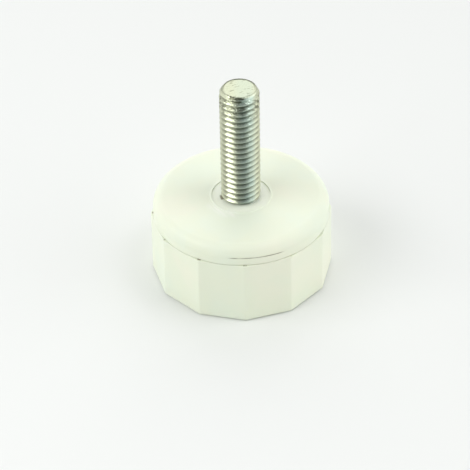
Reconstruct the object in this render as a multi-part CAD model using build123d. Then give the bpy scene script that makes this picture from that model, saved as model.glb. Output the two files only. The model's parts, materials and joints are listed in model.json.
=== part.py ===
"""Appliance leveling foot: a threaded steel stud moulded into a twelve-sided plastic base.

The foot stands on the floor plane z = 0 with the stud along +Z, and its origin is the centre of the sole.
All lengths are in millimetres and all angles in degrees.
"""
from build123d import *

import os
from math import radians, sqrt, tan

# ---- Stud: a standard M8 hexagon-head bolt, used head down --------------------------------------------------
STUD_DIAMETER = 8.0        # over the thread's crests: the thread that stands out is drawn as a plain cylinder
THREAD_PITCH = 1.25
STUD_STANDOUT = 26.0       # from the deck up to the tip
TIP_CHAMFER_WIDTH = 0.65   # radially
TIP_CHAMFER_HEIGHT = 1.0   # along the stud
HEAD_ACROSS_FLATS = 13.0
HEAD_HEIGHT = 5.3
HEAD_CROWN_ANGLE = 30.0    # slope of the turned chamfer that takes the six corners off the head's face

# ---- Base: one nylon moulding, cast round the bolt ----------------------------------------------------------
SIDES = 12
ACROSS_FLATS = 35.8        # of the twelve-sided skirt, at the sole
SKIRT_HEIGHT = 14.0        # of the flat facets
CORNER_RADIUS = 0.6        # on the skirt's upright corners
SOLE_CHAMFER = 0.4         # round the skirt's bottom edge
RIM_OVERHANG = 0.12        # of the round rim over the middle of each flat
RIM_HEIGHT = 4.0           # from the top of the flats to the deck
DECK_ROUND = 2.2           # on the edge between rim and deck
DRAFT = 0.5                # on all upright walls, so that the moulding leaves its mould
SEAT_DIAMETER = 12.0       # shallow ring left round the stud by the mould's sleeve
SEAT_DEPTH = 0.25

# ---- Cored underside ----------------------------------------------------------------------------------------
WALL = 2.4                 # skirt wall
DECK_THICKNESS = 3.5
BOSS_WALL = 1.8            # plastic outside the corners of the bolt head
HEAD_COVER = 3.7           # plastic under the bolt head
CORE_HOLE_DIAMETER = 6.0   # where the mould's pin held the bolt head
RIB_COUNT = 6
RIB_THICKNESS = 1.8
RIB_INSET = 1.0            # the ribs stop this far above the sole

# ---- Heights and radii that follow --------------------------------------------------------------------------
PITCH_LINE_RATIO = 3 * sqrt(3) / 8    # of a metric thread: crest to pitch line, on the diameter, per pitch
SHANK_DIAMETER = STUD_DIAMETER - PITCH_LINE_RATIO * THREAD_PITCH    # where plastic fills the thread
DECK_TOP = SKIRT_HEIGHT + RIM_HEIGHT
POCKET_TOP = DECK_TOP - DECK_THICKNESS
SEAT_FLOOR = DECK_TOP - SEAT_DEPTH
HEAD_BEARING = HEAD_COVER + HEAD_HEIGHT
TIP = DECK_TOP + STUD_STANDOUT
RIM_RADIUS = ACROSS_FLATS / 2 - SKIRT_HEIGHT * tan(radians(DRAFT)) + RIM_OVERHANG
HEAD_CORNER_RADIUS = HEAD_ACROSS_FLATS / sqrt(3)
BOSS_RADIUS = HEAD_CORNER_RADIUS + BOSS_WALL
INNER_APOTHEM = ACROSS_FLATS / 2 - WALL

STANDING = (Align.CENTER, Align.CENTER, Align.MIN)    # a round solid that stands on its location


def polygon(apothem, sides):
    """Regular polygon face on z = 0 with a corner on the X axis."""
    return make_face(RegularPolygon(apothem, sides, major_radius=False).wire())


def make_stud():
    """Bolt: a stud with a chamfered tip, its shank inside the base, and a hexagon head with a turned chamfer.

    The shank is drawn on the thread's pitch line, where steel and plastic fill one half of the thread each.
    """
    radius = STUD_DIAMETER / 2
    crown = (HEAD_CORNER_RADIUS - HEAD_ACROSS_FLATS / 2) * tan(radians(HEAD_CROWN_ANGLE))
    outline = Polyline(
        (0, HEAD_COVER),
        (HEAD_ACROSS_FLATS / 2, HEAD_COVER),
        (HEAD_CORNER_RADIUS, HEAD_COVER + crown),
        (HEAD_CORNER_RADIUS, HEAD_BEARING),
        (SHANK_DIAMETER / 2, HEAD_BEARING),
        (SHANK_DIAMETER / 2, SEAT_FLOOR),
        (radius, SEAT_FLOOR),
        (radius, TIP - TIP_CHAMFER_HEIGHT),
        (radius - TIP_CHAMFER_WIDTH, TIP),
        (0, TIP),
        close=True,
    )
    turned = revolve(make_face(Plane.XZ * outline), Axis.Z)
    hexagon = extrude(polygon(HEAD_ACROSS_FLATS / 2, 6), TIP)
    return turned & hexagon


def make_skirt():
    """Twelve-sided lower block, a little wider at the sole, with soft corners and a chamfered sole edge."""
    block = extrude(polygon(ACROSS_FLATS / 2, SIDES), SKIRT_HEIGHT, taper=DRAFT)
    corners = [edge for edge in block.edges() if edge.bounding_box().size.Z > SKIRT_HEIGHT / 2]
    block = fillet(corners, CORNER_RADIUS)
    return chamfer(block.faces().sort_by(Axis.Z)[0].edges(), SOLE_CHAMFER)


def make_rim():
    """Round upper disc, with the deck's edge rounded over."""
    disc = Pos(0, 0, SKIRT_HEIGHT) * Cylinder(RIM_RADIUS, RIM_HEIGHT, align=STANDING)
    return fillet(disc.edges().sort_by(Axis.Z)[-1], DECK_ROUND)


def make_pockets():
    """The mould's core: a drafted pocket between each two ribs, and the gap under the ribs."""
    well = extrude(polygon(INNER_APOTHEM, SIDES), POCKET_TOP, taper=DRAFT)
    boss = Cone(BOSS_RADIUS, BOSS_RADIUS + POCKET_TOP * tan(radians(DRAFT)), POCKET_TOP, align=STANDING)
    rib_foot = Pos(INNER_APOTHEM, 0) * Rectangle(2 * INNER_APOTHEM, RIB_THICKNESS)
    rib = extrude(rib_foot, POCKET_TOP, taper=-DRAFT)
    gap = extrude(polygon(INNER_APOTHEM, SIDES) - Circle(BOSS_RADIUS), RIB_INSET)
    return well - boss - PolarLocations(0, RIB_COUNT) * rib + gap


def make_base(stud):
    """The moulding: skirt and rim, cored from below, and closed round the bolt."""
    base = make_skirt() + make_rim()
    base -= make_pockets()
    base -= Pos(0, 0, SEAT_FLOOR) * Cylinder(SEAT_DIAMETER / 2, SEAT_DEPTH, align=STANDING)
    base -= Cylinder(CORE_HOLE_DIAMETER / 2, HEAD_COVER, align=STANDING)
    return base - stud


os.makedirs("parts", exist_ok=True)
stud = make_stud()
base = make_base(stud)
export_step(stud, "parts/stud.step")
export_step(base, "parts/base.step")
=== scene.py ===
# %% [markdown]
# # An appliance leveling foot
# The foot screws up into the frame of a washing machine or a cabinet, and turning its wide plastic base
# sets the height. It is two pieces: a zinc-plated M8 bolt, and a nylon base that was injection moulded
# round the bolt's head. The solids that carry the sizes come first, and each visible piece is modelled
# inside their box.

# %% Load the solids
import json
from math import cos, pi, radians, sin, sqrt, tan

import bmesh
import bpy
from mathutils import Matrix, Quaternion, Vector

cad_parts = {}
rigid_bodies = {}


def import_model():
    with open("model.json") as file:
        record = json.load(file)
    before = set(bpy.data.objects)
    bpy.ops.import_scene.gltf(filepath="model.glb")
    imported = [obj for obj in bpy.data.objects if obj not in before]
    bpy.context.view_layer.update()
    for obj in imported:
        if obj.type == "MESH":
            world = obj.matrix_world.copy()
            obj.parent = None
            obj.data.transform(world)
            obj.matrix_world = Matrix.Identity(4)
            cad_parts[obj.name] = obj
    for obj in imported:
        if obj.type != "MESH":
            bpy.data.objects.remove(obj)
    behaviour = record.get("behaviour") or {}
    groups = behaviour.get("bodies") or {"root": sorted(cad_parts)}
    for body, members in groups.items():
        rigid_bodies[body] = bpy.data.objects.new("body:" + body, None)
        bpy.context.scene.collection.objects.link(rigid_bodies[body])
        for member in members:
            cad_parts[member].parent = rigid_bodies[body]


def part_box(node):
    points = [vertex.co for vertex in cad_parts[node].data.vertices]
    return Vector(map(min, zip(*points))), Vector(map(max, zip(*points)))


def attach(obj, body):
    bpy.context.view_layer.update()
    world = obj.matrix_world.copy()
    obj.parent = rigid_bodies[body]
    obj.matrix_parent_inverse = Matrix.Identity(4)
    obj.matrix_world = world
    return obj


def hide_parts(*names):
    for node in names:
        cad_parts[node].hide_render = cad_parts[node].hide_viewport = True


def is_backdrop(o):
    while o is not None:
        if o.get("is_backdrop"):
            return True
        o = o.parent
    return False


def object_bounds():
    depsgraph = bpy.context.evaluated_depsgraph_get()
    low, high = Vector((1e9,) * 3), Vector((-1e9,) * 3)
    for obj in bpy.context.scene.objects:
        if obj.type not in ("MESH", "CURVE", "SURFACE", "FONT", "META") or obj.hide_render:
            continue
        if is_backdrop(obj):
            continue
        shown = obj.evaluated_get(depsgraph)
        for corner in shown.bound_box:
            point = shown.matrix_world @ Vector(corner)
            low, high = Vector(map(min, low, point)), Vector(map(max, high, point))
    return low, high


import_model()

cad_low, cad_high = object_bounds()
print("CAD box, mm:", [round(1000 * v, 2) for v in (*cad_low, *cad_high)])

# %% [markdown]
# ## Sizes
# Blender works in metres and a foot like this is drawn in millimetres, so every size is written in
# millimetres and multiplied by `MM` where it goes to Blender. The overall heights are read from the solids,
# which keeps the visible pieces and the solids in step. The rest are the bolt's standard sizes and the
# mould's usual walls.

# %% Sizes, in millimetres
MM = 0.001
NEAR = 0.001                                 # a corner, edge or face this near to a height lies at it
_, base_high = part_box("base")
stud_low, stud_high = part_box("stud")
DECK = base_high.z / MM                      # height of the base
TIP = stud_high.z / MM                       # height of the whole foot
HEAD_LOW = stud_low.z / MM                   # the bolt head's outer face

STUD_RADIUS = 4.0                            # over the thread's crests
PITCH = 1.25
SIDES = 12                                   # of the skirt, the lower part of the base
FLAT_TO_CORNER = cos(pi / SIDES)             # a flat's distance from the axis, as a part of a corner's
FLAT_RADIUS = 17.9                           # from the axis to the middle of a flat, at the sole
CORNER_RADIUS = FLAT_RADIUS / FLAT_TO_CORNER
DRAFT = tan(radians(0.5))                    # the lean of moulded walls, with which they leave the mould
RIM_HEIGHT = 4.0
RIM_OVERHANG = 0.12                          # over the middle of each flat
SKIRT_TOP = DECK - RIM_HEIGHT
RIM_RADIUS = FLAT_RADIUS - SKIRT_TOP * DRAFT + RIM_OVERHANG
DECK_ROUND = 2.2
print(f"deck at {DECK:.2f}, tip at {TIP:.2f}, head from {HEAD_LOW:.2f}, rim radius {RIM_RADIUS:.2f}")

# %% [markdown]
# ## Working by code as by hand
# Every operator acts on what is selected. `alone` selects one piece, `pick` opens it in edit mode and
# selects the faces, edges or corners that a test says yes to, and `done` closes edit mode. With these, the
# operators below are the ones that a person would click.

# %% Selecting
def alone(piece):
    """Selects one piece and nothing else."""
    bpy.ops.object.select_all(action="DESELECT")
    piece.select_set(True)
    bpy.context.view_layer.objects.active = piece


def middle(part):
    """Middle of a face or an edge, or the place of a vertex, in mm."""
    corners = [part] if isinstance(part, bmesh.types.BMVert) else part.verts
    return sum((v.co for v in corners), Vector()) / len(corners) / MM


def at_height(part, height):
    """Tells whether the middle of a face, edge or vertex lies at a height, in mm."""
    return abs(middle(part).z - height) < NEAR


def pick(piece, kind, wanted=lambda part: True):
    """Opens a piece in edit mode and selects its VERT, EDGE or FACE parts: those that are wanted, or all."""
    alone(piece)
    bpy.ops.object.mode_set(mode="EDIT")
    bpy.ops.mesh.select_mode(type=kind)
    bpy.ops.mesh.select_all(action="DESELECT")
    shape = bmesh.from_edit_mesh(piece.data)
    for part in {"VERT": shape.verts, "EDGE": shape.edges, "FACE": shape.faces}[kind]:
        if wanted(part):
            part.select_set(True)
    shape.select_flush_mode()
    bmesh.update_edit_mesh(piece.data)


def done():
    """Closes edit mode."""
    bpy.ops.object.mode_set(mode="OBJECT")


# %% [markdown]
# Most of the foot is round or many-sided and stands upright, so it starts from cylinders. `upright` adds
# one between two heights and puts its place into its mesh, which leaves the object itself at the origin.
# `combine` joins, cuts or trims one piece by another with a Boolean modifier, and applies it. `grow_top`
# draws out and narrows an end, and `measured` says what came out: a closed piece has no open edges.

# %% Adding and combining
# Operators take corners nearer than this as one place. Their own 0.1 mm is too coarse for so small a piece.
TOUCH = 0.0005 * MM


def upright(name, radius, low, high, sides=96, turn=0.0):
    """Adds a cylinder or prism about the Z axis, in mm. One with 12 sides has corners on the X and Y axes."""
    bpy.ops.object.select_all(action="DESELECT")
    bpy.ops.mesh.primitive_cylinder_add(
        vertices=sides,
        radius=radius * MM,
        depth=(high - low) * MM,
        location=(0, 0, (low + high) / 2 * MM),
        rotation=(0, 0, radians(turn)),
    )
    bpy.ops.object.transform_apply(location=True, rotation=True, scale=True)
    bpy.context.object.name = name
    return bpy.context.object


def combine(piece, tool, operation, keep_tool=False):
    """Applies a Boolean of piece with tool: UNION, DIFFERENCE or INTERSECT."""
    alone(piece)
    step = piece.modifiers.new(operation, "BOOLEAN")
    step.operation = operation
    step.object = tool
    step.solver = "EXACT"
    bpy.ops.object.modifier_apply(modifier=step.name)
    if not keep_tool:
        bpy.data.objects.remove(tool)
    return piece


def grow_top(piece, height, scale, rise=0.0):
    """Selects a piece's flat face at a height in mm, extrudes it by rise, and scales it about the axis."""
    pick(piece, "FACE", lambda f: at_height(f, height) and abs(f.normal.z) > 0.9)
    if rise:
        bpy.ops.mesh.extrude_region_move(TRANSFORM_OT_translate={"value": (0, 0, rise * MM)})
    bpy.ops.transform.resize(value=(scale, scale, 1), center_override=(0, 0, 0))
    done()


def measured(piece):
    """Prints a piece's triangles, volume and open edges, and returns it."""
    shape = bmesh.new()
    shape.from_mesh(piece.data)
    open_edges = sum(not e.is_manifold for e in shape.edges)
    triangles = sum(len(f.verts) - 2 for f in shape.faces)
    volume = shape.calc_volume(signed=True) / MM**3
    shape.free()
    print(f"{piece.name}: {triangles} triangles, {volume:.1f} mm3, {open_edges} open edges")
    return piece


# %% [markdown]
# ## The thread
# An M8 x 1.25 thread is rolled: two dies squeeze a ridge up out of the wire, with flanks at about 60
# degrees to each other, a rounded root and a slightly rounded crest. It could be painted on with bump, but
# its crests catch the light one by one and its outline is ragged, so it is real geometry. First comes the
# outline of one pitch, as depths below the crest and heights along the stud.

# %% One pitch of the thread
THREAD_DEPTH = 0.767
HALF = PITCH / 2
CREST_HALF = 0.085          # along the stud, from the crest's middle to where its rounding meets the flank
CREST_DROP = 0.010          # how deep the crest's rounding is half-way there
ROOT_HALF = 0.143           # the same two at the root
ROOT_RISE = 0.018
FLANK_HIGH = 0.045          # how far below the crest the straight flank starts
FLANK_LOW = 0.680           # and where it ends
profile = [
    (FLANK_LOW, -HALF + ROOT_HALF),
    (FLANK_HIGH, -CREST_HALF),
    (CREST_DROP, -CREST_HALF / 2),
    (0.0, 0.0),
    (CREST_DROP, CREST_HALF / 2),
    (FLANK_HIGH, CREST_HALF),
    (FLANK_LOW, HALF - ROOT_HALF),
    (THREAD_DEPTH - ROOT_RISE, HALF - ROOT_HALF / 2),
    (THREAD_DEPTH, HALF),
    (THREAD_DEPTH - ROOT_RISE, HALF + ROOT_HALF / 2),
    (FLANK_LOW, HALF + ROOT_HALF),
]
outline = [Vector((STUD_RADIUS - depth, 0, height)) for depth, height in profile]
print(f"thread outline: {len(outline)} points, {THREAD_DEPTH} deep, pitch {PITCH}")

# %% [markdown]
# The outline is drawn as a person would: a plane is merged into a single vertex, and that vertex is
# extruded from point to point. A Screw modifier then winds the line up into a right-hand thread.

# %% Winding the thread
THREAD_FOOT = DECK - 0.9    # the visible thread starts below the plastic's surface
WINDING_LOW = THREAD_FOOT - 1.5 * PITCH      # the winding starts lower still: its ragged end is trimmed off
SPARE_TURNS = 4             # for both ends together
TURNS = int((TIP - THREAD_FOOT) / PITCH) + SPARE_TURNS
STEPS = 72                  # per turn

bpy.ops.object.select_all(action="DESELECT")
bpy.ops.mesh.primitive_plane_add(size=MM)
thread = bpy.context.object
thread.name = "foot_stud"
pick(thread, "VERT")
bpy.ops.mesh.merge(type="CENTER")
bpy.ops.transform.translate(value=(outline[0] + Vector((0, 0, WINDING_LOW))) * MM)
for before, after in zip(outline, outline[1:]):
    bpy.ops.mesh.extrude_vertices_move(TRANSFORM_OT_translate={"value": (after - before) * MM})
done()

winding = thread.modifiers.new("Screw", "SCREW")
winding.axis = "Z"
winding.angle = radians(360)
winding.screw_offset = PITCH * MM
winding.iterations = TURNS
winding.steps = STEPS
winding.render_steps = STEPS
winding.use_merge_vertices = True
winding.merge_threshold = NEAR * MM
bpy.ops.object.modifier_apply(modifier=winding.name)
print(f"{TURNS} turns, {len(thread.data.polygons)} faces")

# %% [markdown]
# Two bisects trim the ragged ends flat, and a face closes each. The upper cut lies a little above the tip,
# which is shaped next.

# %% Trimming the thread's ends
ABOVE_TIP = TIP + 0.5
for height, is_foot in ((THREAD_FOOT, True), (ABOVE_TIP, False)):
    pick(thread, "VERT")
    bpy.ops.mesh.remove_doubles(threshold=TOUCH)
    bpy.ops.mesh.bisect(
        plane_co=(0, 0, height * MM),
        plane_no=(0, 0, 1),
        threshold=TOUCH,
        clear_inner=is_foot,
        clear_outer=not is_foot,
    )
    done()
    pick(thread, "EDGE", lambda e: e.is_boundary and at_height(e, height))
    bpy.ops.mesh.edge_face_add()
    done()
pick(thread, "FACE")
bpy.ops.mesh.normals_make_consistent(inside=False)
done()
measured(thread)

# %% [markdown]
# The bolt was sheared to length and its end turned to a short cone, so that it starts in its hole. The cone
# cuts the last turn away at a slant. A turned blank, a cylinder with a coned top and a dulled edge, trims
# the thread by a Boolean intersection, exactly as the lathe does it.

# %% The tip
TIP_RADIUS = 3.35
TIP_ROUND = 0.22
CONE_HEIGHT = 1.0           # from the crests up to the end face
BLANK_RADIUS = 4.4          # clear of the crests, so that only the cone cuts
PAST = 1.0                  # shapes in a Boolean reach this far past each other, so that no faces coincide
cone_rise = CONE_HEIGHT * (BLANK_RADIUS - TIP_RADIUS) / (STUD_RADIUS - TIP_RADIUS)
blank = upright("blank", BLANK_RADIUS, THREAD_FOOT - PAST, TIP - cone_rise)
grow_top(blank, TIP - cone_rise, TIP_RADIUS / BLANK_RADIUS, rise=cone_rise)
pick(blank, "EDGE", lambda e: at_height(e, TIP))
bpy.ops.mesh.bevel(offset=TIP_ROUND * MM, segments=5, affect="EDGES")
done()
combine(thread, blank, "INTERSECT")
measured(thread)

# %% [markdown]
# Inside the base the plastic fills the thread, and nobody sees it, so there the shank is a plain cylinder
# on the thread's pitch line, where steel and plastic fill one half of the thread each. The head is a
# hexagon whose corners a lathe has taken off at 30 degrees: again two shapes that intersect.

# %% The shank and the head
CREST_TO_PITCH_LINE = 3 * sqrt(3) / 16       # of a metric thread, as a part of its pitch
SHANK_RADIUS = STUD_RADIUS - CREST_TO_PITCH_LINE * PITCH
SHANK_TOP = THREAD_FOOT + 0.2                # still below the plastic's surface
HEAD_FLATS = 13.0
HEAD_HEIGHT = 5.3
head_corner = HEAD_FLATS / sqrt(3)
crown = (head_corner - HEAD_FLATS / 2) * tan(radians(30))
head_high = HEAD_LOW + HEAD_HEIGHT
shank = upright("shank", SHANK_RADIUS, head_high - PAST, SHANK_TOP)
combine(thread, shank, "UNION")
head = upright("head", head_corner, HEAD_LOW, head_high, sides=6, turn=30)
lathe = upright("lathe", head_corner + 0.01, HEAD_LOW + crown, head_high + PAST)
grow_top(lathe, HEAD_LOW + crown, HEAD_FLATS / 2 / head_corner, rise=-crown)
combine(head, lathe, "INTERSECT")
stud = measured(combine(thread, head, "UNION"))

# %% [markdown]
# ## The base, outside
# The skirt is a twelve-sided prism that gets a little wider downwards, so its flats give wet fingers a
# grip. The cylinder primitive with twelve sides is that prism: its top face is scaled in for the draft, and
# its upright edges are bevelled. A wider bevel slants the edge of the sole, and its lower loop is tucked in
# further.

# %% Skirt
CORNER_ROUND = 0.22
LEDGE_ROUND = 0.12          # on the skirt's top edge, which shows beside the rim at each corner
SOLE_EDGE = 0.35            # height of the slanted edge
SOLE_TUCK = 0.5             # how much further than that it goes in
base = upright("foot_base", CORNER_RADIUS, 0, SKIRT_TOP, sides=SIDES)
grow_top(base, SKIRT_TOP, 1 - SKIRT_TOP * DRAFT / FLAT_RADIUS)
pick(base, "EDGE", lambda e: at_height(e, SKIRT_TOP / 2))
bpy.ops.mesh.bevel(offset=CORNER_ROUND * MM, segments=4, affect="EDGES")
done()
for height, width, steps in ((0, SOLE_EDGE, 1), (SKIRT_TOP, LEDGE_ROUND, 3)):
    pick(base, "EDGE", lambda e: at_height(e, height))
    bpy.ops.mesh.bevel(offset=width * MM, segments=steps, affect="EDGES")
    done()
pick(base, "VERT", lambda v: at_height(v, 0))
tuck = 1 - SOLE_TUCK / FLAT_RADIUS
bpy.ops.transform.resize(value=(tuck, tuck, 1), center_override=(0, 0, 0))
done()
measured(base)

# %% [markdown]
# The round rim sits on the skirt: it overhangs the flats by a tenth of a millimetre, and the skirt's
# corners stick out from under it. That crossing of a circle and a twelve-sided form makes the stepped line
# round the base, and a Boolean union will draw it by itself.

# %% Rim
RIM_LAP = 0.5               # the rim reaches this far down past the skirt's top
rim = upright("rim", RIM_RADIUS, SKIRT_TOP - RIM_LAP, DECK, sides=180)
pick(rim, "EDGE", lambda e: at_height(e, DECK))
bpy.ops.mesh.bevel(offset=DECK_ROUND * MM, segments=10, affect="EDGES")
done()
measured(rim)

# %% [markdown]
# Two hair-fine lines run round the base. One is where the halves of the mould met, just below the rim's
# rounded edge. The other is the crease between rim and skirt, a little undercut, which the nylon's material
# darkens with painted shade. Both are V-shaped grooves, 0.04 and 0.15 mm deep: a loop of edges at that
# height, bevelled into a band and then drawn in.

# %% Parting line and crease
PARTING = DECK - DECK_ROUND - 0.05


def groove(piece, height, half_width, depth):
    """Draws a V-groove into a round wall at a height, all in mm."""
    pick(piece, "FACE")
    bpy.ops.mesh.bisect(plane_co=(0, 0, height * MM), plane_no=(0, 0, 1), threshold=TOUCH)
    bpy.ops.mesh.bevel(offset=half_width * MM, segments=2, affect="EDGES")
    done()
    pick(piece, "VERT", lambda v: at_height(v, height))
    draw_in = 1 - depth / RIM_RADIUS
    bpy.ops.transform.resize(value=(draw_in, draw_in, 1), center_override=(0, 0, 0))
    done()


groove(rim, PARTING, half_width=0.08, depth=0.04)
groove(rim, SKIRT_TOP, half_width=0.10, depth=0.15)
combine(base, rim, "UNION")
measured(base)

# %% [markdown]
# ## The base, underneath
# Thick nylon sinks and warps as it cools, so the mould cores the base out from below and leaves a skirt, a
# boss round the bolt's head and six ribs between them. All of those walls lean by the draft, so each cutter
# is a cylinder or a prism whose top is scaled, out for a pocket's inner wall and in for its outer one.

# %% Cutters that lean
BELOW = 2.0                 # every cutter starts this far under the sole


def leaning(name, radius, top, slope, sides):
    """Adds a cutter from under the sole up to top. Its wall leans out where slope is 1, in where it is -1."""
    foot_radius = radius - slope * BELOW * DRAFT
    cutter = upright(name, foot_radius, -BELOW, top, sides=sides)
    full = radius + slope * top * DRAFT
    grow_top(cutter, top, full / foot_radius)
    return cutter


# %% [markdown]
# One pocket is modelled: a slice of a twelve-sided block between two rib faces, less the boss, with its
# edges rounded as a milled core has them. The edges are found by place and angle: the corners between walls
# are tall edges, and the ceiling's are those at its height where two faces meet steeply.

# %% One pocket
WALL = 2.4                  # of the skirt
POCKET_TOP = DECK - 3.5
RIBS = 6
RIB_ANGLE = 360 / RIBS
RIB_HALF = 0.9              # half a rib's thickness
BOSS_WALL = 1.8             # plastic outside the corners of the bolt's head
BOSS_RADIUS = head_corner + BOSS_WALL
TALL = 5.0                  # an edge whose ends differ by more than this in height stands up
POCKET_CORNER = 0.5
POCKET_CEILING = 0.4
inner_flat = FLAT_RADIUS - WALL
pocket = leaning("pocket", inner_flat / FLAT_TO_CORNER, POCKET_TOP, -1, SIDES)
for angle, side in ((0, 1), (RIB_ANGLE, -1)):
    across = Vector((-sin(radians(angle)), cos(radians(angle)), 0)) * side
    pick(pocket, "FACE")
    bpy.ops.mesh.bisect(
        plane_co=across * RIB_HALF * MM,
        plane_no=across - Vector((0, 0, DRAFT)),
        threshold=TOUCH,
        use_fill=True,
        clear_inner=True,
    )
    done()
combine(pocket, leaning("boss", BOSS_RADIUS, POCKET_TOP + PAST, 1, 96), "DIFFERENCE")


def is_corner(edge):
    """Tells whether an edge stands up and its two walls meet at more than 20 degrees."""
    height = abs(edge.verts[0].co.z - edge.verts[1].co.z)
    return height > TALL * MM and edge.calc_face_angle(0) > radians(20)


pick(pocket, "EDGE", is_corner)
bpy.ops.mesh.bevel(offset=POCKET_CORNER * MM, segments=4, affect="EDGES")
done()
pick(pocket, "EDGE", lambda e: at_height(e, POCKET_TOP) and e.calc_face_angle(0) > radians(60))
bpy.ops.mesh.bevel(offset=POCKET_CEILING * MM, segments=3, affect="EDGES")
done()
measured(pocket)

# %% [markdown]
# Five turned copies join the pocket, and the whole set is cut out at once. The ribs stop a little above the
# sole, so a ring-shaped gap is cut under them. Its walls stay just clear of the pockets' walls, because a
# Boolean can't cut along faces that coincide. Last comes the hole where the mould's pin held the bolt's
# head.

# %% The set of six, the gap under the ribs and the pin's hole
CLEAR = 0.15                # between the gap's walls and the pockets' walls
SLIVER = 0.004              # corners nearer than this, which the Boolean leaves, become one
RIB_FOOT = 1.0              # the ribs stop this far above the sole
PIN_RADIUS = 3.0
alone(pocket)
for _ in range(RIBS - 1):
    bpy.ops.object.duplicate()
    bpy.ops.transform.rotate(value=radians(RIB_ANGLE), orient_axis="Z", center_override=(0, 0, 0))
    bpy.ops.object.transform_apply(location=True, rotation=True, scale=True)
for piece in bpy.context.scene.objects:
    if piece.name.startswith("pocket"):
        piece.select_set(True)
bpy.context.view_layer.objects.active = pocket
bpy.ops.object.join()
measured(pocket)
combine(base, pocket, "DIFFERENCE")
pick(base, "VERT")
bpy.ops.mesh.remove_doubles(threshold=SLIVER * MM)
done()

gap = leaning("gap", (inner_flat - CLEAR) / FLAT_TO_CORNER, RIB_FOOT, -1, SIDES)
combine(gap, leaning("boss", BOSS_RADIUS + CLEAR, RIB_FOOT + PAST, 1, 96), "DIFFERENCE")
combine(base, gap, "DIFFERENCE")
combine(base, upright("pin", PIN_RADIUS, -BELOW, HEAD_LOW + PAST), "DIFFERENCE")
measured(base)

# %% [markdown]
# ## Moulded round the bolt
# A sleeve in the mould closed round the stud and left a shallow round seat in the deck, with a low lip
# round it. Then the nylon flowed round the bolt's head, the shank and the first of the thread. The same
# thing in Blender is a Boolean difference by the finished bolt, so plastic and steel touch everywhere and
# no gap shows where the thread comes out.

# %% Seat and bolt
SEAT_RADIUS = 5.95
SEAT_DEPTH = 0.12
LIP_WIDTH = 0.35
LIP_HEIGHT = 0.07
LIP_ROUND = 0.065
LIP_ROOT = 0.5              # the lip's disc starts this far down in the deck
lip = upright("lip", SEAT_RADIUS + LIP_WIDTH, DECK - LIP_ROOT, DECK + LIP_HEIGHT)
pick(lip, "EDGE", lambda e: at_height(e, DECK + LIP_HEIGHT))
bpy.ops.mesh.bevel(offset=LIP_ROUND * MM, segments=3, affect="EDGES")
done()
combine(base, lip, "UNION")
combine(base, upright("seat", SEAT_RADIUS, DECK - SEAT_DEPTH, DECK + PAST), "DIFFERENCE")
combine(base, stud, "DIFFERENCE", keep_tool=True)
measured(base)

# %% [markdown]
# Both pieces are shaded smooth with sharp creases kept, and a Weighted Normal modifier makes the wide flats
# look flat right up to their small bevels. Angles above 25 degrees stay sharp on the base, which keeps its
# edges crisp, and on the stud only those above 50, so that the thread's roundings come out smooth.

# %% Shading
for piece, angle in ((stud, 50), (base, 25)):
    alone(piece)
    bpy.ops.object.shade_smooth_by_angle(angle=radians(angle))
    weighting = piece.modifiers.new("Weighted", "WEIGHTED_NORMAL")
    weighting.keep_sharp = True
    bpy.ops.object.modifier_apply(modifier=weighting.name)
    print(f"{piece.name}: {len(piece.data.vertices)} vertices, sharp above {angle} degrees")

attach(stud, "root")
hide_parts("stud")
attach(base, "root")
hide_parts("base")

# %% [markdown]
# ## Materials
# Colours are written as the hex values that a paint program shows and turned to the linear values that a
# shader wants. One function adds a node to a material with its settings and its links, and hands back the
# output that is in use, so that the next node can be linked to it.

# %% Colour and node helpers
def colour(hex_value):
    """Turns an sRGB hex colour into linear red, green, blue and alpha."""
    parts = [int(hex_value[i : i + 2], 16) / 255 for i in (1, 3, 5)]
    return tuple(c / 12.92 if c <= 0.04045 else ((c + 0.055) / 1.055) ** 2.4 for c in parts) + (1.0,)


def add(tree, kind, inputs=(), out=None, **settings):
    """Adds a node. Inputs are values or nodes' outputs, in order or by name. Settings are its properties."""
    made = tree.nodes.new("ShaderNode" + kind)
    for name, value in settings.items():
        setattr(made, name, value)
    for name, value in inputs.items() if isinstance(inputs, dict) else enumerate(inputs):
        if isinstance(value, bpy.types.NodeSocket):
            tree.links.new(value, made.inputs[name])
        else:
            made.inputs[name].default_value = value
    return made.outputs[out] if out else next(o for o in made.outputs if o.enabled)


def new_material(name, piece):
    """Gives a piece a material with a Principled shader. Returns its tree, its shader and its place in mm."""
    material = bpy.data.materials.new(name)
    material.use_nodes = True
    tree = material.node_tree
    piece.data.materials.clear()
    piece.data.materials.append(material)
    place = add(tree, "TexCoord", out="Object")
    in_mm = add(tree, "Mapping", {"Vector": place, "Scale": (1 / MM,) * 3})
    return tree, tree.nodes["Principled BSDF"], in_mm


# %% [markdown]
# Most masks below are soft steps: a Map Range node that goes smoothly from 0 at its second value to 1 at
# its third, or between the two values that follow them. Masks are multiplied to say "and", and their
# maximum says "or".

# %% Settings that many nodes share
SOFT_STEP = {"interpolation_type": "SMOOTHSTEP"}
TIMES = {"operation": "MULTIPLY"}
FROM = {"operation": "SUBTRACT"}
WITHOUT_SIGN = {"operation": "ABSOLUTE"}
LARGER = {"operation": "MAXIMUM"}

# %% [markdown]
# ### Natural nylon
# The base is unfilled nylon 66 in its natural colour: a slightly green off-white that lets a little light
# in, with the fine satin skin of a spark-eroded mould. It starts from IOR 1.53 and a roughness near 0.45.
# Its colour drifts a little between warmer and cooler, in clouds about 14 mm across, as the melt cooled
# unevenly.

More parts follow.
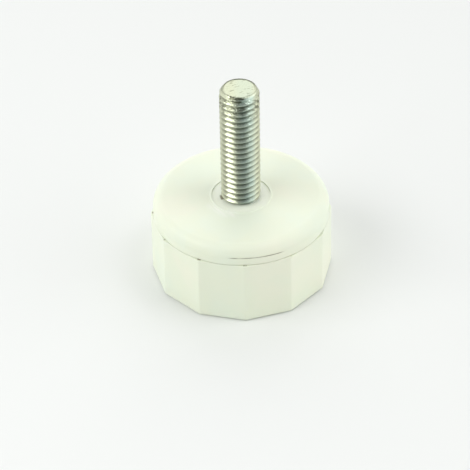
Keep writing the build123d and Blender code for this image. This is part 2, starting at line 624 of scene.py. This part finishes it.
# %% Nylon
tree, shader, place = new_material("moulded_natural_nylon", base)
NYLON = colour("#ecf2dd")
NYLON_WARM = colour("#eff2de")
NYLON_COOL = colour("#eaf2df")
cloud = add(tree, "TexNoise", {"Vector": place, "Scale": 1 / 14, "Detail": 3.0})
not_cool = add(tree, "MapRange", (cloud, 0.35, 0.5), **SOFT_STEP)
tint = add(tree, "Mix", {"Factor": not_cool, "A": NYLON_COOL, "B": NYLON}, data_type="RGBA")
warm = add(tree, "MapRange", (cloud, 0.5, 0.65), **SOFT_STEP)
tint = add(tree, "Mix", {"Factor": warm, "A": tint, "B": NYLON_WARM}, data_type="RGBA")

# %% [markdown]
# The masks need to know where on the foot a point is: its height, its distance from the axis and its angle
# about it.

# %% Where on the base
x, y, z = add(tree, "SeparateXYZ", [place]).node.outputs
flat = add(tree, "VectorMath", (place, (1, 1, 0)), operation="MULTIPLY")
radius = add(tree, "VectorMath", [flat], operation="LENGTH")
angle = add(tree, "Math", (y, x), operation="ARCTAN2")
outside = add(tree, "MapRange", (radius, 16.8, 17.2), **SOFT_STEP)
on_top = add(tree, "MapRange", (z, DECK - 1.2, DECK - 0.6), **SOFT_STEP)

# %% [markdown]
# The crease is darkened with painted shade, thin all along it and thicker at the skirt's twelve corners,
# where the ledge is widest. The cosine of twelve times the angle is 1 at each corner, which makes the mask.

# %% Painted shade in the crease
# The colour of soil, used for the smear and the dust, and also for the painted shade in the crease and beside
# the stud.
SOIL_AND_SHADE = colour("#6f6644")
patches = add(tree, "TexNoise", {"Vector": place, "Scale": 1 / 2.2, "Detail": 3.0})
patchy = add(tree, "MapRange", (patches, 0.4, 0.6), **SOFT_STEP)
corner = add(tree, "Math", (angle, float(SIDES)), **TIMES)
corner = add(tree, "Math", [corner], operation="COSINE")
corner = add(tree, "MapRange", (corner, 0.95, 0.99), **SOFT_STEP)
corner = add(tree, "Math", (corner, patchy), **TIMES)
off_crease = add(tree, "Math", (z, SKIRT_TOP), **FROM)
off_crease = add(tree, "Math", [off_crease], **WITHOUT_SIGN)
in_crease = add(tree, "MapRange", (off_crease, 0.16, 0.04), **SOFT_STEP)
deep = add(tree, "MapRange", (radius, RIM_RADIUS + 0.05, RIM_RADIUS - 0.05, 0.0, 0.22), **SOFT_STEP)
on_ledge = add(tree, "MapRange", (radius, RIM_RADIUS + 0.45, RIM_RADIUS + 0.1, 0.0, 0.85), **SOFT_STEP)
corner = add(tree, "Math", (corner, on_ledge), **TIMES)
shade_strength = add(tree, "Math", (corner, deep), **LARGER)
# Painted shade: darkest in the crease, and on the ledge at the corners.
soil_and_shade = add(tree, "Math", (in_crease, shade_strength), **TIMES)

# %% [markdown]
# A smear of soil fills a stretch of the parting line at the front. A direction is picked out by a dot
# product: divided by the distance from the axis it is the cosine of the angle to that direction.

# %% Smear in the parting line
def heading(degrees):
    """Turns an angle about the foot's axis into a direction. The front of the foot is at -90."""
    return cos(radians(degrees)), sin(radians(degrees)), 0


toward = add(tree, "VectorMath", (place, heading(-82)), operation="DOT_PRODUCT")
toward = add(tree, "Math", (toward, radius), operation="DIVIDE")
smeared = add(tree, "MapRange", (toward, 0.94, 0.975), **SOFT_STEP)
off_parting = add(tree, "Math", (z, PARTING), **FROM)
off_parting = add(tree, "Math", [off_parting], **WITHOUT_SIGN)
in_parting = add(tree, "MapRange", (off_parting, 0.14, 0.04), **SOFT_STEP)
smear = add(tree, "Math", (in_parting, smeared), **TIMES)
uneven = add(tree, "MapRange", (patches, 0.3, 0.6, 0.35, 0.9), **SOFT_STEP)
smear = add(tree, "Math", (smear, uneven), **TIMES)

# %% [markdown]
# A few specks of dust stick to the walls: a Voronoi pattern with a cell every 3.5 mm, in which only the cells
# with a high random red are kept. All of the soil, dust and painted shade stays on the outer walls.

# %% Dust
cells = {"Vector": place, "Scale": 1 / 3.5, "Randomness": 1.0}
cells = add(tree, "TexVoronoi", cells, out="Distance").node.outputs
chosen = add(tree, "SeparateColor", [cells["Color"]])
chosen = add(tree, "MapRange", (chosen, 0.80, 0.82, 0.0, 0.55), **SOFT_STEP)
speck = add(tree, "MapRange", (cells["Distance"], 0.055, 0.025), **SOFT_STEP)
speck = add(tree, "Math", (speck, chosen), **TIMES)
soil_and_shade = add(tree, "Math", (soil_and_shade, smear), **LARGER)
soil_and_shade = add(tree, "Math", (soil_and_shade, speck), **LARGER)
soil_and_shade = add(tree, "Math", (soil_and_shade, outside), **TIMES)
tint = add(tree, "Mix", {"Factor": soil_and_shade, "A": tint, "B": SOIL_AND_SHADE}, data_type="RGBA")

# %% [markdown]
# Where the melt met itself beside the seat it left a pale flow mark: an arc of whiter streaks. A Mapping
# node of type Texture turns the pattern first and then stretches it, so that the streaks run along the arc.

# %% Flow mark
FLOW = colour("#f6faee")
toward = add(tree, "VectorMath", (place, heading(232)), operation="DOT_PRODUCT")
toward = add(tree, "Math", (toward, radius), operation="DIVIDE")
facing = add(tree, "MapRange", (toward, 0.82, 0.97), **SOFT_STEP)
beyond = add(tree, "MapRange", (radius, 5.6, 6.2), **SOFT_STEP)
within = add(tree, "MapRange", (radius, 8.8, 7.0), **SOFT_STEP)
ring = add(tree, "Math", (beyond, within), **TIMES)
along = {"Vector": place, "Rotation": (0, 0, radians(-58)), "Scale": (4.0, 0.8, 1.0)}
along = add(tree, "Mapping", along, vector_type="TEXTURE")
streaks = add(tree, "TexNoise", {"Vector": along, "Scale": 1.0, "Detail": 1.5})
streaks = add(tree, "MapRange", (streaks, 0.35, 0.65, 0.2, 0.8), **SOFT_STEP)
flow = add(tree, "Math", (ring, facing), **TIMES)
flow = add(tree, "Math", (flow, streaks), **TIMES)
flow = add(tree, "Math", (flow, on_top), **TIMES)
tint = add(tree, "Mix", {"Factor": flow, "A": tint, "B": FLOW}, data_type="RGBA")

# %% [markdown]
# Round the stud the nylon is painted paler: painted light, for the light that the bolt reflects onto it. At
# one place just beside the thread a dark spot is painted: painted shade.

# %% Painted light and painted shade round the stud
# Painted light: the nylon is paler round the stud.
PAINTED_BOUNCE = colour("#f7feeb")
painted_bounce = add(tree, "MapRange", (radius, 7.0, 5.2), **SOFT_STEP)
painted_bounce = add(tree, "Math", (painted_bounce, on_top), **TIMES)
tint = add(tree, "Mix", {"Factor": painted_bounce, "A": tint, "B": PAINTED_BOUNCE}, data_type="RGBA")
# Painted shade: a dark spot beside the thread on the left, on top only.
toward = add(tree, "VectorMath", (place, heading(190)), operation="DOT_PRODUCT")
toward = add(tree, "Math", (toward, radius), operation="DIVIDE")
toward = add(tree, "MapRange", (toward, 0.975, 0.992), **SOFT_STEP)
notch_shade = add(tree, "MapRange", (radius, STUD_RADIUS + 0.45, STUD_RADIUS + 0.15, 0.0, 0.85), **SOFT_STEP)
notch_shade = add(tree, "Math", (notch_shade, toward), **TIMES)
notch_shade = add(tree, "Math", (notch_shade, on_top), **TIMES)
tint = add(tree, "Mix", {"Factor": notch_shade, "A": tint, "B": SOIL_AND_SHADE}, data_type="RGBA")
tree.links.new(tint, shader.inputs["Base Color"])

# %% [markdown]
# The mould's eroded steel leaves a grain of about a quarter of a millimetre, twenty micrometres deep at
# most. Light goes about a millimetre into natural nylon, which the subsurface values give.

# %% Skin
grain = add(tree, "TexNoise", {"Vector": place, "Scale": 1 / 0.25})
skin = add(tree, "Bump", {"Height": grain, "Strength": 0.15, "Distance": 0.02 * MM})
tree.links.new(skin, shader.inputs["Normal"])
shader.inputs["Roughness"].default_value = 0.45
shader.inputs["IOR"].default_value = 1.53
shader.inputs["Subsurface Weight"].default_value = 0.2
shader.inputs["Subsurface Radius"].default_value = (1.0, 1.0, 0.8)
shader.inputs["Subsurface Scale"].default_value = 1.0 * MM
print("nodes in the nylon:", len(tree.nodes))

# %% [markdown]
# ### Zinc-plated steel
# The bolt is bright zinc plate with a clear passivation, a film thin enough to tint it faintly yellow-green
# on one side and blue on the other. A metal's colour is its reflection's, so the tint goes into the base
# colour.

# %% Zinc plate
tree, shader, place = new_material("zinc_plate", stud)
ZINC = colour("#cacfb4")
ZINC_BLUE = colour("#b9cfc6")
x, y, z = add(tree, "SeparateXYZ", [place]).node.outputs
flat = add(tree, "VectorMath", (place, (1, 1, 0)), operation="MULTIPLY")
radius = add(tree, "VectorMath", [flat], operation="LENGTH")
starts = add(tree, "MapRange", (x, -1.8, 0.6), **SOFT_STEP)
ends = add(tree, "MapRange", (x, 3.4, 2.0), **SOFT_STEP)
band = add(tree, "Math", (starts, ends), **TIMES)
cloud = add(tree, "TexNoise", {"Vector": place, "Scale": 1 / 2})
film = add(tree, "Math", (cloud, 0.8, 0.3), operation="MULTIPLY_ADD")
film = add(tree, "Math", (film, band), **TIMES)
less_on_tip = add(tree, "MapRange", (z, TIP - 0.4, TIP - 0.1, 1.0, 0.35), **SOFT_STEP)
film = add(tree, "Math", (film, less_on_tip), **TIMES)
tint = add(tree, "Mix", {"Factor": film, "A": ZINC, "B": ZINC_BLUE}, data_type="RGBA")

# %% [markdown]
# The thread's roots and the flanks that face down are darkened with painted shade.

# %% Painted shade in the roots and on the flanks that face down
# The colour of grime for the scuffs and flecks, and of the painted shade in the roots, on the flanks that
# face down and on the tip.
GRIME_AND_SHADE = colour("#4a4c38")
in_root = add(tree, "MapRange", (radius, STUD_RADIUS - 0.12, STUD_RADIUS - 0.50, 0.0, 0.40), **SOFT_STEP)
on_thread = add(tree, "MapRange", (z, TIP - 1.0, TIP - 1.3), **SOFT_STEP)
facing_z = add(tree, "SeparateXYZ", [add(tree, "TexCoord", out="Normal")], out="Z")
downward = add(tree, "MapRange", (facing_z, -0.1, -0.5, 0.0, 0.50), **SOFT_STEP)
# Painted shade in the roots and on the flanks that face down.
grime_and_shade = add(tree, "Math", (in_root, downward), **LARGER)
grime_and_shade = add(tree, "Math", (grime_and_shade, on_thread), **TIMES)

# %% [markdown]
# The sheared end is scuffed across, and a thin dark line of painted shade runs round its edge. It fades in
# towards the back and is widest there: adding a little to the radius at the back lets the line start further
# in.
# back and is widest there: adding a little to the radius at the back lets the line start further in.

# %% Scuffs, and painted shade round the tip's edge
across = {"Vector": place, "Rotation": (0, 0, radians(25)), "Scale": (1.2, 0.4, 1.0)}
across = add(tree, "Mapping", across, vector_type="TEXTURE")
scuffs = add(tree, "TexNoise", {"Vector": across, "Scale": 1.0, "Detail": 4.0})
scuffs = add(tree, "MapRange", (scuffs, 0.56, 0.68, 0.0, 0.42), **SOFT_STEP)
on_face = add(tree, "MapRange", (z, TIP - 0.08, TIP - 0.03), **SOFT_STEP)
scuffs = add(tree, "Math", (scuffs, on_face), **TIMES)
wider = add(tree, "MapRange", (y, 2.5, 3.1, 0.0, 0.28), **SOFT_STEP)
wider = add(tree, "Math", (wider, radius), operation="ADD")
at_edge = add(tree, "MapRange", (wider, TIP_RADIUS - 0.50, TIP_RADIUS - 0.28), **SOFT_STEP)
at_back = add(tree, "MapRange", (y, -1.8, 2.4, 0.0, 0.95), **SOFT_STEP)
near_face = add(tree, "MapRange", (z, TIP - 0.4, TIP - 0.3), **SOFT_STEP)
# Painted shade round the end face's edge, at the back.
edge_shade = add(tree, "Math", (at_edge, at_back), **TIMES)
edge_shade = add(tree, "Math", (edge_shade, near_face), **TIMES)
grime_and_shade = add(tree, "Math", (grime_and_shade, scuffs), **LARGER)
grime_and_shade = add(tree, "Math", (grime_and_shade, edge_shade), **LARGER)

# %% [markdown]
# Two short dark lines of painted shade sit at the front: one just under the end face, and one in the root
# below it. Noise added to the height makes both lines ragged.

# %% Painted shade under the end face and in the root below
ragged = add(tree, "TexNoise", {"Vector": place, "Scale": 1 / 0.8, "Detail": 3.0})
ragged = add(tree, "Math", (ragged, 0.5), **FROM)
ragged = add(tree, "Math", (ragged, 0.5, z), operation="MULTIPLY_ADD")
beside_face = add(tree, "MapRange", (radius, TIP_RADIUS - 0.40, TIP_RADIUS - 0.25), **SOFT_STEP)
# Each has its height, half its width, the heading of its middle, and the cosine of how far round it reaches.
UNDER_FACE_SHADE = (TIP - 0.25, 0.18, -101, 0.93)
FIRST_ROOT_SHADE = (TIP - 1.08, 0.16, -104, 0.95)
# Painted shade: the two dark lines at the front.
for height, half_width, side, reach in (UNDER_FACE_SHADE, FIRST_ROOT_SHADE):
    toward = add(tree, "VectorMath", (place, heading(side)), operation="DOT_PRODUCT")
    toward = add(tree, "Math", (toward, radius), operation="DIVIDE")
    toward = add(tree, "MapRange", (toward, reach - 0.03, reach), **SOFT_STEP)
    off_line = add(tree, "Math", (ragged, height), **FROM)
    off_line = add(tree, "Math", [off_line], **WITHOUT_SIGN)
    shade_line = add(tree, "MapRange", (off_line, half_width + 0.05, half_width - 0.05, 0.0, 0.85), **SOFT_STEP)
    shade_line = add(tree, "Math", (shade_line, toward), **TIMES)
    shade_line = add(tree, "Math", (shade_line, beside_face), **TIMES)
    grime_and_shade = add(tree, "Math", (grime_and_shade, shade_line), **LARGER)

# %% [markdown]
# The last turns have been gripped and knocked, so the plate there is flecked with dark specks a millimetre
# wide and less than half as tall. They fade out a few turns down.

# %% Flecks on the last turns
flecks = add(tree, "Mapping", {"Vector": place, "Scale": (0.9, 0.9, 0.4)}, vector_type="TEXTURE")
flecks = add(tree, "TexNoise", {"Vector": flecks, "Scale": 1.0, "Detail": 3.0})
flecks = add(tree, "MapRange", (flecks, 0.50, 0.56, 0.0, 0.65), **SOFT_STEP)
near_tip = add(tree, "MapRange", (z, TIP - 7.0, TIP - 3.0), **SOFT_STEP)
flecks = add(tree, "Math", (flecks, near_tip), **TIMES)
flecks = add(tree, "Math", (flecks, on_thread), **TIMES)
grime_and_shade = add(tree, "Math", (grime_and_shade, flecks), **LARGER)
tint = add(tree, "Mix", {"Factor": grime_and_shade, "A": tint, "B": GRIME_AND_SHADE}, data_type="RGBA")
tree.links.new(tint, shader.inputs["Base Color"])

# %% [markdown]
# The rolled flanks carry fine chatter marks from the dies, which break up the reflections: a little bump
# with patches of a third of a millimetre. It is three times as high on the last, knocked turns, and back to
# its usual height on the end face. The plate's film and fine crystals scatter some of the light, which a
# metallic a little under 1 gives.

# %% Chatter
chatter = add(tree, "TexNoise", {"Vector": place, "Scale": 1 / 0.35, "Detail": 3.0})
rougher = add(tree, "MapRange", (z, TIP - 9.0, TIP - 3.0, 1.0, 3.2), **SOFT_STEP)
smoother = add(tree, "MapRange", (z, TIP - 0.12, TIP - 0.04, 1.0, 0.3), **SOFT_STEP)
chatter = add(tree, "Math", (chatter, rougher), **TIMES)
chatter = add(tree, "Math", (chatter, smoother), **TIMES)
chatter = add(tree, "Bump", {"Height": chatter, "Strength": 0.6, "Distance": 0.03 * MM})
tree.links.new(chatter, shader.inputs["Normal"])
shader.inputs["Metallic"].default_value = 0.88
shader.inputs["Roughness"].default_value = 0.21
print("nodes in the zinc plate:", len(tree.nodes))

# %% [markdown]
# ## Floor, light and camera
# The foot stands on a large sheet of white paper, far wider than any view of it. The paper lies a hair
# under the sole, so that the two never share a plane.

# %% Floor
FLOOR_SIZE = 8.0            # in metres
bpy.ops.object.select_all(action="DESELECT")
bpy.ops.mesh.primitive_plane_add(size=FLOOR_SIZE, location=(0, 0, -0.02 * MM))
floor = bpy.context.object
floor.name = "paper"
paper = bpy.data.materials.new("matte_paper")
paper.use_nodes = True
shader = paper.node_tree.nodes["Principled BSDF"]
shader.inputs["Base Color"].default_value = colour("#edefed")
shader.inputs["Roughness"].default_value = 1.0
shader.inputs["Specular IOR Level"].default_value = 0.0
floor.data.materials.append(paper)
floor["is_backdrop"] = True
print("floor:", FLOOR_SIZE, "m square")

# %% [markdown]
# The studio is painted on the world, because metal shows what is round it. The walls are pale, brighter to
# both sides and most of all on the right, and dimmer in front, behind the camera.

# %% World: walls
world = bpy.data.worlds.new("studio")
bpy.context.scene.world = world
world.use_nodes = True
tree = world.node_tree
direction = add(tree, "TexCoord", out="Generated")
x, y, z = add(tree, "SeparateXYZ", [direction]).node.outputs
aside = add(tree, "Math", [x], **WITHOUT_SIGN)
walls = add(tree, "MapRange", (aside, 0.4, 0.9, 0.83, 1.29), **SOFT_STEP)
right = add(tree, "MapRange", (x, 0.2, 0.7, 1.0, 1.70), **SOFT_STEP)
front = add(tree, "VectorMath", (direction, (-0.12, -0.99, 0)), operation="DOT_PRODUCT")
front = add(tree, "MapRange", (front, 0.3, 0.9, 1.0, 0.48), **SOFT_STEP)
walls = add(tree, "Math", (walls, right), **TIMES)
walls = add(tree, "Math", (walls, front), **TIMES)

# %% [markdown]
# Higher up the studio is darker, but for a bright panel behind, which the stud's end face reflects. The
# corner low down at the back right is darker too, which draws a thin dark line along the right edge of the
# metal.

# %% World: panel, upper walls and dark corner
behind = add(tree, "MapRange", (y, 0.3, 0.7), **SOFT_STEP)
middle_third = add(tree, "MapRange", (aside, 0.55, 0.3), **SOFT_STEP)
panel = add(tree, "Math", (behind, middle_third), **TIMES)
high = add(tree, "MapRange", (z, 0.1, 0.45), **SOFT_STEP)
no_panel = add(tree, "MapRange", (panel, 0.5, 0.0), **SOFT_STEP)
upper = add(tree, "Math", (high, no_panel), **TIMES)
upper = add(tree, "Math", (upper, -0.36, 1.0), operation="MULTIPLY_ADD")
panel = add(tree, "Math", (panel, 0.72, 1.0), operation="MULTIPLY_ADD")
low_down = add(tree, "MapRange", (z, 0.85, 0.65), **SOFT_STEP)
far_back = add(tree, "MapRange", (y, 0.2, 0.4), **SOFT_STEP)
on_right = add(tree, "MapRange", (x, 0.45, 0.62), **SOFT_STEP)
dark_corner = add(tree, "Math", (low_down, far_back), **TIMES)
dark_corner = add(tree, "Math", (dark_corner, on_right), **TIMES)
dark_corner = add(tree, "Math", (dark_corner, -0.44, 1.0), operation="MULTIPLY_ADD")
for part in (panel, upper, dark_corner):
    walls = add(tree, "Math", (walls, part), **TIMES)

# %% [markdown]
# Two things stay dark: the ceiling straight above and a little in front, and the person behind the camera.
# The dark ceiling between the two softboxes is what draws the dark stripe down the middle of the thread.

# %% World: dark ceiling and person
DIM = 0.33                  # brightness of both
off_centre = add(tree, "Math", (x, 0.06), operation="ADD")
off_centre = add(tree, "Math", [off_centre], **WITHOUT_SIGN)
over = add(tree, "MapRange", (off_centre, 0.42, 0.26), **SOFT_STEP)
in_front = add(tree, "MapRange", (y, 0.25, 0.0), **SOFT_STEP)
overhead = add(tree, "MapRange", (z, 0.6, 0.85), **SOFT_STEP)
ceiling = add(tree, "Math", (over, in_front), **TIMES)
ceiling = add(tree, "Math", (ceiling, overhead), **TIMES)
person = add(tree, "VectorMath", (direction, (-0.27, -0.81, 0.52)), operation="DOT_PRODUCT")
person = add(tree, "MapRange", (person, 0.84, 0.94), **SOFT_STEP)
dark = add(tree, "Math", (ceiling, person), **LARGER)
studio = add(tree, "Mix", {"Factor": dark, "A": walls, "B": DIM}, data_type="FLOAT")
tree.links.new(studio, tree.nodes["Background"].inputs["Strength"])
tree.nodes["Background"].inputs["Color"].default_value = (1, 1, 1, 1)
print("nodes in the studio's world:", len(tree.nodes))

# %% [markdown]
# Two softboxes give the shadow its direction: a large one on the left, and a small, weak one on the right,
# higher up. Their power is written as a share of plain light, at which a colour shows about as it is
# written, so that with the world the whole adds up to plain light.

# %% Softboxes
def softbox(name, azimuth, elevation, distance, width, height, share):
    """Adds an area lamp aimed at the foot. Share is the part of plain light that it gives what faces it."""
    data = bpy.data.lights.new(name, "AREA")
    data.shape = "RECTANGLE"
    data.size = width
    data.size_y = height
    data.energy = share * 4 * pi * distance**2
    lamp = bpy.data.objects.new(name, data)
    bpy.context.scene.collection.objects.link(lamp)
    turn = radians(azimuth)
    tilt = radians(elevation)
    out = Vector((cos(turn) * cos(tilt), sin(turn) * cos(tilt), sin(tilt)))
    lamp.location = out * distance + Vector((0, 0, DECK * MM))
    lamp.rotation_euler = (-out).to_track_quat("-Z", "Y").to_euler()
    print(f"{name}: {data.energy:.2f} W at {distance} m")


softbox("softbox_left", azimuth=203, elevation=42, distance=0.9, width=0.9, height=0.39, share=0.325)
softbox("softbox_right", azimuth=-6, elevation=66, distance=0.6, width=0.22, height=0.20, share=0.095)

# %% [markdown]
# The camera looks down at the foot from the front, through a long lens less than half a metre away, and is
# rolled by about a degree. The view transform is Standard, which shows colours as they are written.

# %% Camera
EYE = Vector((-9.8, -330.0, 270.9))
AIM = Vector((-1.388, -0.237, 7.650))
ROLL = -0.02048             # in radians
camera = bpy.data.objects.new("camera", bpy.data.cameras.new("camera"))
bpy.context.scene.collection.objects.link(camera)
camera.data.lens = 157.41
camera.data.sensor_width = 36.0
camera.data.clip_start = 0.01
camera.data.clip_end = 20.0
camera.location = EYE * MM
look = (AIM * MM - camera.location).to_track_quat("-Z", "Y")
camera.rotation_mode = "QUATERNION"
camera.rotation_quaternion = look @ Quaternion((0, 0, 1), ROLL)
bpy.context.scene.camera = camera
bpy.context.scene.view_settings.view_transform = "Standard"
print(f"camera {(EYE - AIM).length:.0f} mm from its aim, {camera.data.lens:.2f} mm lens")

# %% [markdown]
# ## Size
# The visible pieces must stay inside the box of the solids, so both boxes are written down side by side.

# %% Size and finish
low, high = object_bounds()
{"cad": [list(cad_low), list(cad_high)], "visual": [list(low), list(high)]}
print("visual box, mm:", [round(v / MM, 2) for v in (*low, *high)])
